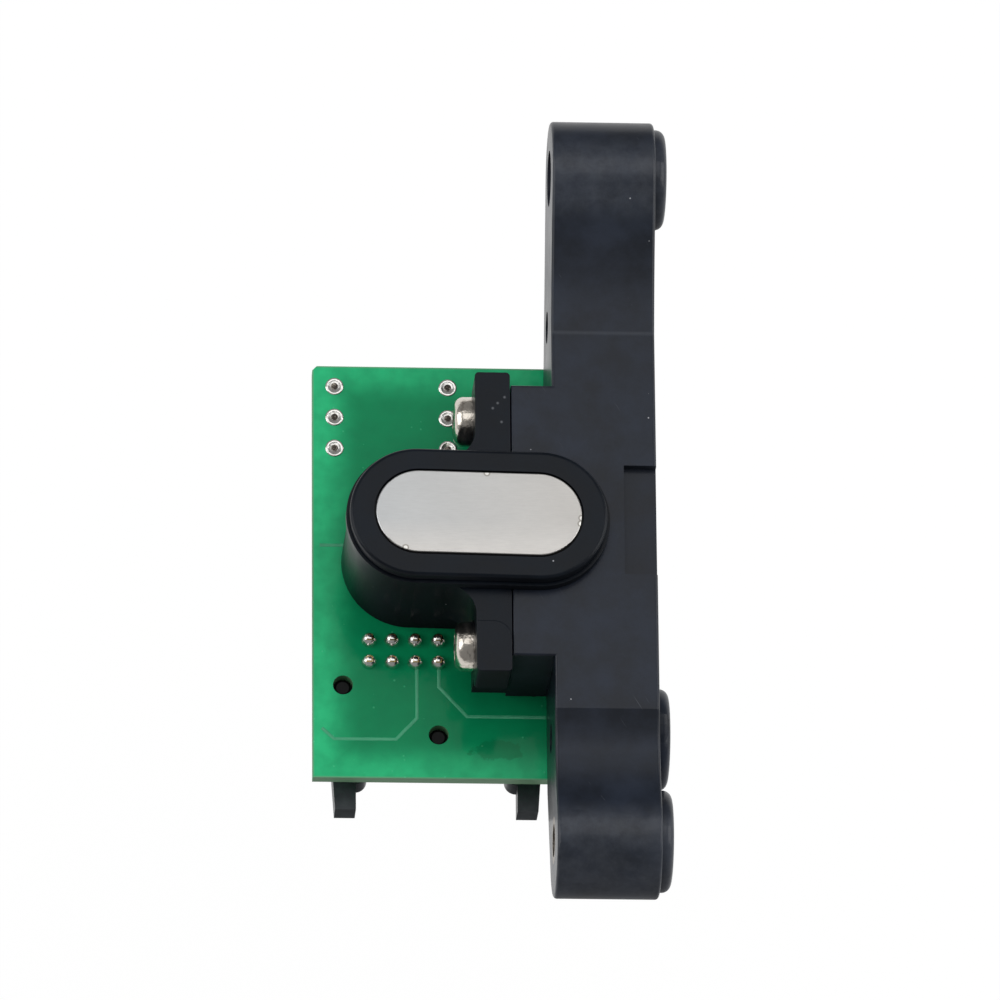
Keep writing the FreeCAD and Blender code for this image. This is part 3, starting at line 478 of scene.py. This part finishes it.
paint(plated("sleeve_steel", "#8C857C", "#5F5A54", 0.4, 0.8, 0.04), "lower_sleeve")
paint(plated("gold_plated_contacts", "#DDBB72", "#B8924A", 0.22, 0.8, 0.02),
      "far_contacts", "near_contacts")
paint(plated("sintered_magnet", "#77777B", "#4A4A4E", 0.42, 0.5, 0.02), "bias_magnet")
paint(plated("tinned_copper", "#CFCDC9", "#8F8B86", 0.28, 0.6, 0.03),
      "filter_leads", "element_leads", "chip_legs")
paint(solder_mask(), "circuit_board")
paint(dull_case("sensing_ceramic", "#B5AE9F", "#C9C3B4", 0.45, 0.8), "sensing_chip")
paint(dull_case("element_laminate", "#1E6B3F", "#2B7A4A", 0.4, 1.0), "element_board")
paint(dull_case("black_potting_resin", "#0E0E0D", "#17160F", 0.18, 2.5), "potting_fill")
paint(dull_case("moulded_chip_resin", "#151516", "#202022", 0.5, 1.2),
      "amplifier_chip", "line_driver_chip")
paint(dull_case("tantalum_capacitor_resin", "#A97A22", "#BF9034", 0.42, 1.0), "smoothing_capacitor")
paint(end_capped("ceramic_capacitors", "#A9855C", "#C9C9C6", "ceramic_capacitors", 0.4),
      "ceramic_capacitors")
paint(end_capped("thick_film_resistors", "#161618", "#C9C9C6", "resistors", 0.3), "resistors")

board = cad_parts["circuit_board"].data
board.materials.append(cut_laminate())
for face in board.polygons:
    face.material_index = 0 if abs(face.normal.z) > 0.5 else 1


# Shaping tools

def only(piece):
    """Selects one piece and makes it the active one."""
    bpy.ops.object.select_all(action="DESELECT")
    piece.select_set(True)
    bpy.context.view_layer.objects.active = piece


def turned(name, steps, sides):
    """A round piece drawn up from a disc, through steps of radius and height in mm, about the origin."""
    bpy.ops.object.select_all(action="DESELECT")
    radius, height = steps[0]
    bpy.ops.mesh.primitive_circle_add(vertices=sides, radius=radius * MM, fill_type="NGON",
                                      location=(0, 0, height * MM))
    piece = bpy.context.object
    piece.name = name
    bpy.ops.object.transform_apply(location=True)
    bpy.ops.object.mode_set(mode="EDIT")
    bpy.ops.mesh.select_all(action="SELECT")
    for (radius, height), (next_radius, next_height) in zip(steps, steps[1:]):
        rise = (next_height - height) * MM
        bpy.ops.mesh.extrude_region_move(TRANSFORM_OT_translate={"value": (0, 0, rise)})
        factor = next_radius / radius
        bpy.ops.transform.resize(value=(factor, factor, 1), center_override=(0, 0, next_height * MM))
    bpy.ops.mesh.select_all(action="SELECT")
    bpy.ops.mesh.normals_make_consistent(inside=False)
    bpy.ops.object.mode_set(mode="OBJECT")
    bpy.ops.object.shade_smooth_by_angle(angle=math.radians(50))
    return piece


def bevelled_block(name, low, high, width, segments):
    """A block between two corners in mm, with rounded edges."""
    bpy.ops.object.select_all(action="DESELECT")
    bpy.ops.mesh.primitive_cube_add(size=1)
    piece = bpy.context.object
    piece.name = name
    bpy.ops.object.mode_set(mode="EDIT")
    bpy.ops.mesh.select_all(action="SELECT")
    bpy.ops.transform.resize(value=[(b - a) * MM for a, b in zip(low, high)], center_override=(0, 0, 0))
    bpy.ops.transform.translate(value=[(b + a) / 2 * MM for a, b in zip(low, high)])
    bpy.ops.mesh.bevel(offset=width * MM, segments=segments)
    bpy.ops.object.mode_set(mode="OBJECT")
    bpy.ops.object.shade_smooth_by_angle(angle=math.radians(50))
    return piece


def joined(name, pieces):
    """Makes one piece of several."""
    only(pieces[0])
    for piece in pieces:
        piece.select_set(True)
    bpy.ops.object.join()
    pieces[0].name = name
    return pieces[0]


def set_out(piece, places):
    """Copies a piece to each place in mm, each with its own mesh. Where a place asks for it, the copies are
    turned, so that no two look alike."""
    turn_step = 2.4
    copies = []
    for i, (x, y, z, turns) in enumerate(places):
        copy = piece.copy()
        copy.data = piece.data.copy()
        turn = Matrix.Rotation(turn_step * i if turns else 0, 4, "Z")
        copy.data.transform(Matrix.Translation(Vector((x, y, z)) * MM) @ turn)
        bpy.context.scene.collection.objects.link(copy)
        copies.append(copy)
    bpy.data.objects.remove(piece)
    return copies


def rides(piece):
    """Fixes a piece to the head."""
    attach(piece, "head")


# Solder on the circuit board

board_top_z = board_high.z
board_back_z = board_low.z
pin_columns = 7
pin_side = 0.64
pin_xs = [pins_low.x + pin_side / 2 + i * (pins_high.x - pins_low.x - pin_side) / (pin_columns - 1)
          for i in range(pin_columns)]
pin_rows = (pins_high.y - pin_side / 2, near_high.y - pin_side / 2)
filter_lead_radius = 0.4
element_lead_radius = 0.3


def pin_joints():
    """Domes of solder round the connector's pins, with the square pin ends standing out of them."""
    steps = [(0.86, -0.02), (0.87, 0.05), (0.84, 0.2), (0.78, 0.4), (0.68, 0.6), (0.55, 0.78), (0.4, 0.92),
             (0.2, 0.98)]
    dome = turned("dome", steps, 28)
    dome.data.materials.append(solder)
    half, tip_low, tip_high, tip_bevel = 0.27, 0.6, 1.2, 0.07
    tip = bevelled_block("tip", (-half, -half, tip_low), (half, half, tip_high), tip_bevel, 2)
    tip.data.materials.append(solder)
    joint = joined("joint", [dome, tip])
    return set_out(joint, [(x, y, board_top_z, False) for y in pin_rows for x in pin_xs])


def filter_rings():
    """Bright rings of solder round the filters' leads, with a rough, brown lead end in the middle of each."""
    steps = [(1.02, -0.02), (1.01, 0.05), (0.95, 0.1), (0.82, 0.12), (0.69, 0.1), (0.6, 0.05)]
    ring = turned("ring", steps, 36)
    ring.data.materials.append(solder)
    steps = [(0.61, 0.0), (0.6, 0.05), (0.5, 0.02), (0.42, 0.05), (0.34, 0.18), (0.13, 0.2)]
    end = turned("lead_end", steps, 24)
    end.data.materials.append(flux)
    joint = joined("ring", [ring, end])
    xs = (leads_low.x + filter_lead_radius, leads_high.x - filter_lead_radius)
    ys = (leads_low.y + filter_lead_radius, (leads_low.y + leads_high.y) / 2,
          leads_high.y - filter_lead_radius)
    return set_out(joint, [(x, y, board_top_z, True) for x in xs for y in ys])


def element_joints():
    """Cones of solder on the board's rear, round the leads that come down from the sensing element."""
    steps = [(0.8, 0.02), (0.8, -0.06), (0.66, -0.22), (0.5, -0.5), (0.4, -0.8), (0.3, -0.95)]
    cone = turned("cone", steps, 24)
    cone.data.materials.append(solder)
    xs = (element_low.x + element_lead_radius, element_high.x - element_lead_radius)
    ys = (element_low.y + element_lead_radius, element_high.y - element_lead_radius)
    return set_out(cone, [(x, y, board_back_z, False) for x in xs for y in ys])


solder_work = joined("solder_work", pin_joints() + filter_rings() + element_joints())
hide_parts("solder_joints")
rides(solder_work)


# Copper tracks under the mask

track_width = 0.4
track_height = 0.035
track_routes = [
    [(-26.93, -52.3), (-26.93, -58.73), (-29.25, -61.22), (-36.06, -61.22), (-37.37, -60.0)],
    [(-24.5, -52.3), (-24.5, -55.1), (-21.44, -58.5), (-12.75, -58.5)],
    [(-37.6, -38.7), (-34.9, -38.7)],
]


def track(route):
    """A flattened, half-round bead along a route of points on the board."""
    curve = bpy.data.curves.new("track", "CURVE")
    curve.dimensions = "3D"
    curve.bevel_depth = track_width / 2 * MM
    curve.bevel_resolution = 3
    curve.use_fill_caps = True
    line = curve.splines.new("POLY")
    line.points.add(len(route) - 1)
    for point, (x, y) in zip(line.points, route):
        point.co = (x * MM, y * MM, 0, 1)
    piece = bpy.data.objects.new("track", curve)
    bpy.context.scene.collection.objects.link(piece)
    only(piece)
    bpy.ops.object.convert(target="MESH")
    bpy.ops.object.mode_set(mode="EDIT")
    bpy.ops.mesh.select_all(action="SELECT")
    bpy.ops.transform.resize(value=(1, 1, 2 * track_height / track_width), center_override=(0, 0, 0))
    bpy.ops.transform.translate(value=(0, 0, board_top_z * MM))
    bpy.ops.object.mode_set(mode="OBJECT")
    bpy.ops.object.shade_smooth_by_angle(angle=math.radians(60))
    piece.data.materials.append(covered)
    return piece


tracks = joined("tracks", [track(route) for route in track_routes])
rides(tracks)


# Dipped filters on the rear

def dipped_filters():
    """Two flat three-legged filters, whose dipped coating rounds every edge."""
    width = 3.0
    rounding = 0.75
    case = bevelled_block("case", (filters_low.x, filters_low.y, filters_low.z),
                          (filters_low.x + width, filters_high.y, filters_high.z), rounding, 5)
    case.data.materials.append(dull_case("dipped_filter_resin", "#14264F", "#1D3163", 0.26, 1.6))
    step = filters_high.x - filters_low.x - width
    return joined("dipped_filters", set_out(case, [(0, 0, 0, False), (step, 0, 0, False)]))


filters = dipped_filters()
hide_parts("noise_filters")
rides(filters)


# Camera, floor and light

def studio():
    """The camera as it was fitted to the photo, a white floor, and soft boxes round the part."""
    look_at = Vector((-17.755, -34.010, -10.769)) * MM
    right = Vector((0.99808279, -0.00814883, 0.06135418))
    up = Vector((-0.01338818, 0.93940033, 0.34256062))
    back = right.cross(up)
    distance = 1.0
    lens = bpy.data.cameras.new("camera")
    lens.sensor_width = 36
    lens.lens = 325.76
    camera = bpy.data.objects.new("camera", lens)
    turn = Matrix((right, up, back)).transposed().to_4x4()
    camera.matrix_world = Matrix.Translation(look_at + distance * back) @ turn
    bpy.context.scene.collection.objects.link(camera)
    bpy.context.scene.camera = camera
    bpy.context.scene.view_settings.view_transform = "Standard"

    floor_drop = 0.15
    bpy.ops.object.select_all(action="DESELECT")
    bpy.ops.mesh.primitive_plane_add(size=6, location=(0, 0, cad_box[0][2] - floor_drop))
    floor = bpy.context.object
    floor.name = "floor"
    white = bpy.data.materials.new("white_floor")
    white.use_nodes = True
    tree = white.node_tree
    tree.nodes.clear()
    path = add(tree, "ShaderNodeLightPath").outputs
    seen = add(tree, "ShaderNodeMath", {0: path["Is Camera Ray"], 1: path["Is Glossy Ray"]},
               operation="MAXIMUM")
    seen = add(tree, "ShaderNodeMath", {0: seen, 1: path["Is Transmission Ray"]}, operation="MAXIMUM")
    share = add(tree, "ShaderNodeMath", {0: seen, 1: 0.9}, operation="MULTIPLY")
    matt = add(tree, "ShaderNodeBsdfDiffuse", {"Color": "#F4F4F4"})
    glow = add(tree, "ShaderNodeEmission", {"Strength": 1.02})
    finish_with(tree, add(tree, "ShaderNodeMixShader", {0: share, 1: matt, 2: glow}))
    floor.data.materials.append(white)

    world = bpy.data.worlds.new("studio")
    world.use_nodes = True
    world.node_tree.nodes["Background"].inputs["Strength"].default_value = 0.26
    world.node_tree.nodes["Background"].inputs["Color"].default_value = colour("#FFFFFF")
    bpy.context.scene.world = world

    # Each box: its name, its angles to the side and up in degrees, its distance and size in m, its radiance
    centre = Vector((-18, -40, -6)) * MM
    boxes = [("top_box", 0, 10, 0.9, (0.7, 0.56), 1.2), ("left_box", -60, 4, 0.7, (0.45, 0.6), 2.5),
             ("right_box", 60, 4, 0.7, (0.45, 0.6), 2.5), ("fill_box", 12, 12, 0.9, (0.9, 0.9), 1.04)]
    for name, side, lean, far, size, radiance in boxes:
        lamp = bpy.data.lights.new(name, "AREA")
        lamp.shape = "RECTANGLE"
        lamp.size, lamp.size_y = size
        lamp.energy = radiance * math.pi * size[0] * size[1]
        made = bpy.data.objects.new(name, lamp)
        made.visible_glossy = name != "fill_box"
        side, lean = math.radians(side), math.radians(lean)
        way = Vector((math.sin(side) * math.cos(lean), math.sin(lean), math.cos(side) * math.cos(lean)))
        made.location = centre + way * far
        made.rotation_mode = "QUATERNION"
        made.rotation_quaternion = way.to_track_quat("Z", "Y")
        bpy.context.scene.collection.objects.link(made)


studio()
